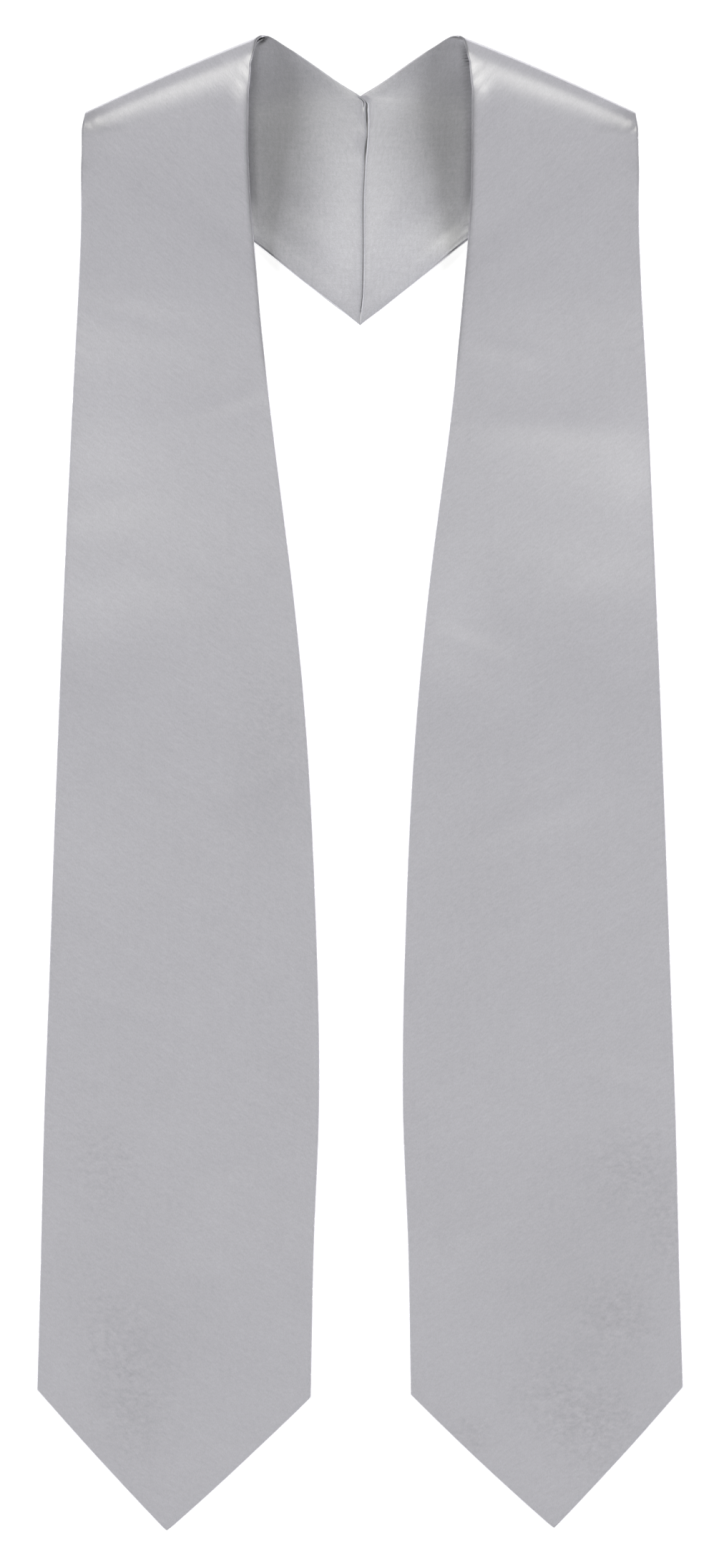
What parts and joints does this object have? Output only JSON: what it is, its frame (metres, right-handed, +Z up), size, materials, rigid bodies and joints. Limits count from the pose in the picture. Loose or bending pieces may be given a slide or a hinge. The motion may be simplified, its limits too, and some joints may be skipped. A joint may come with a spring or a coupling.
{
  "type": "graduation stole",
  "caption": "Lined satin stole laid flat, folded over at both shoulders, V shaped at the back, with a pointed end on each front panel.",
  "frame": {"origin": "on the surface that the stole lies on, in the middle of its length and width", "axes": "+X to the right of the stole as it lies with its front panels up, +Y from the pointed ends towards the neck, +Z up off the surface"},
  "size_m": [0.3466, 0.7998, 0.0136],
  "materials": {
    "face_satin": "smooth silver-grey satin with a soft sheen",
    "lining_satin": "the same silver-grey satin, seen on the inner side of the back"
  },
  "bodies": {
    "root": {"face_left": "face_satin", "face_right": "face_satin", "lining_left": "lining_satin", "lining_right": "lining_satin"}
  },
  "joints": []
}
